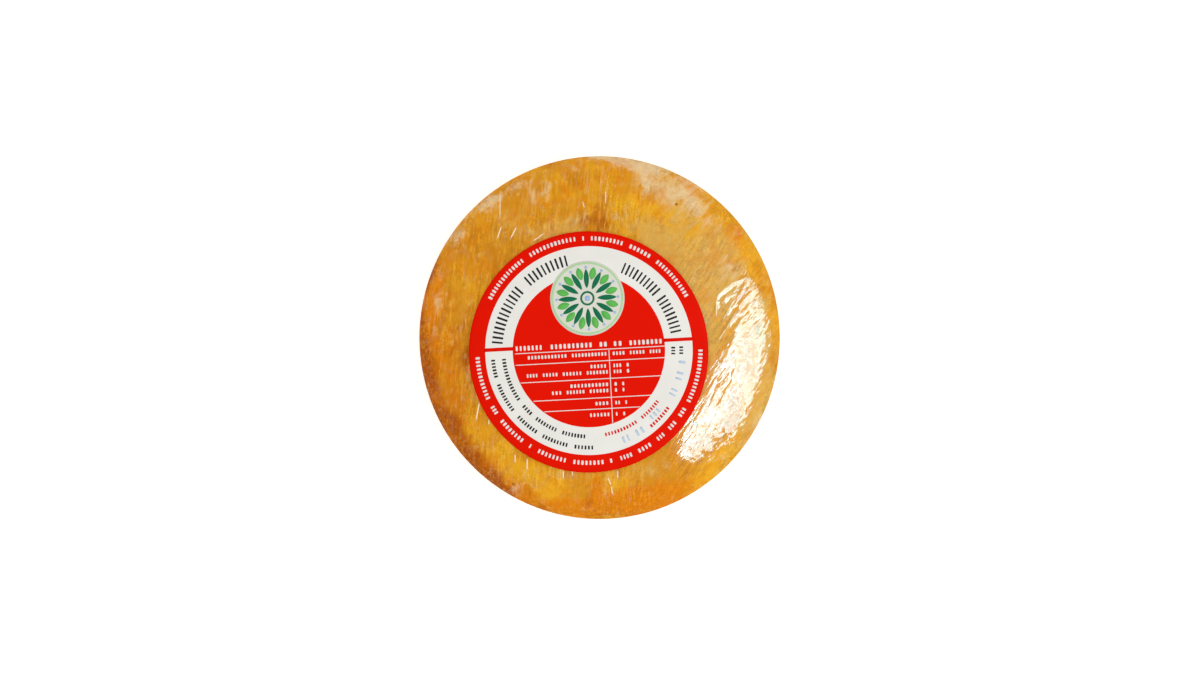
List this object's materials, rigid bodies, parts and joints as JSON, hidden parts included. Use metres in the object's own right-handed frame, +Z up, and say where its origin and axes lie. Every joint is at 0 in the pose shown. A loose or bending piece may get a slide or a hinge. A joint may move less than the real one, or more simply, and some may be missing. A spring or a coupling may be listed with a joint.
{
  "type": "smoked cheese wheel",
  "caption": "Low round wheel of smoked cheese with a domed top, sealed in tight clear film, with a round red and white paper label on top.",
  "frame": {"origin": "middle of the flat base that the wheel stands on", "axes": "+Z up out of the domed top; +Y towards the top of the label's print, +X to its right"},
  "size_m": [0.1814, 0.1826, 0.039],
  "materials": {
    "cheese_in_film": "smoked golden brown rind seen through tight, slightly creased clear film with a wet-looking gloss",
    "label": "coated paper printed in red and white, satin"
  },
  "bodies": {
    "root": {"cheese_in_film": "cheese_in_film", "label": "label"}
  },
  "joints": []
}
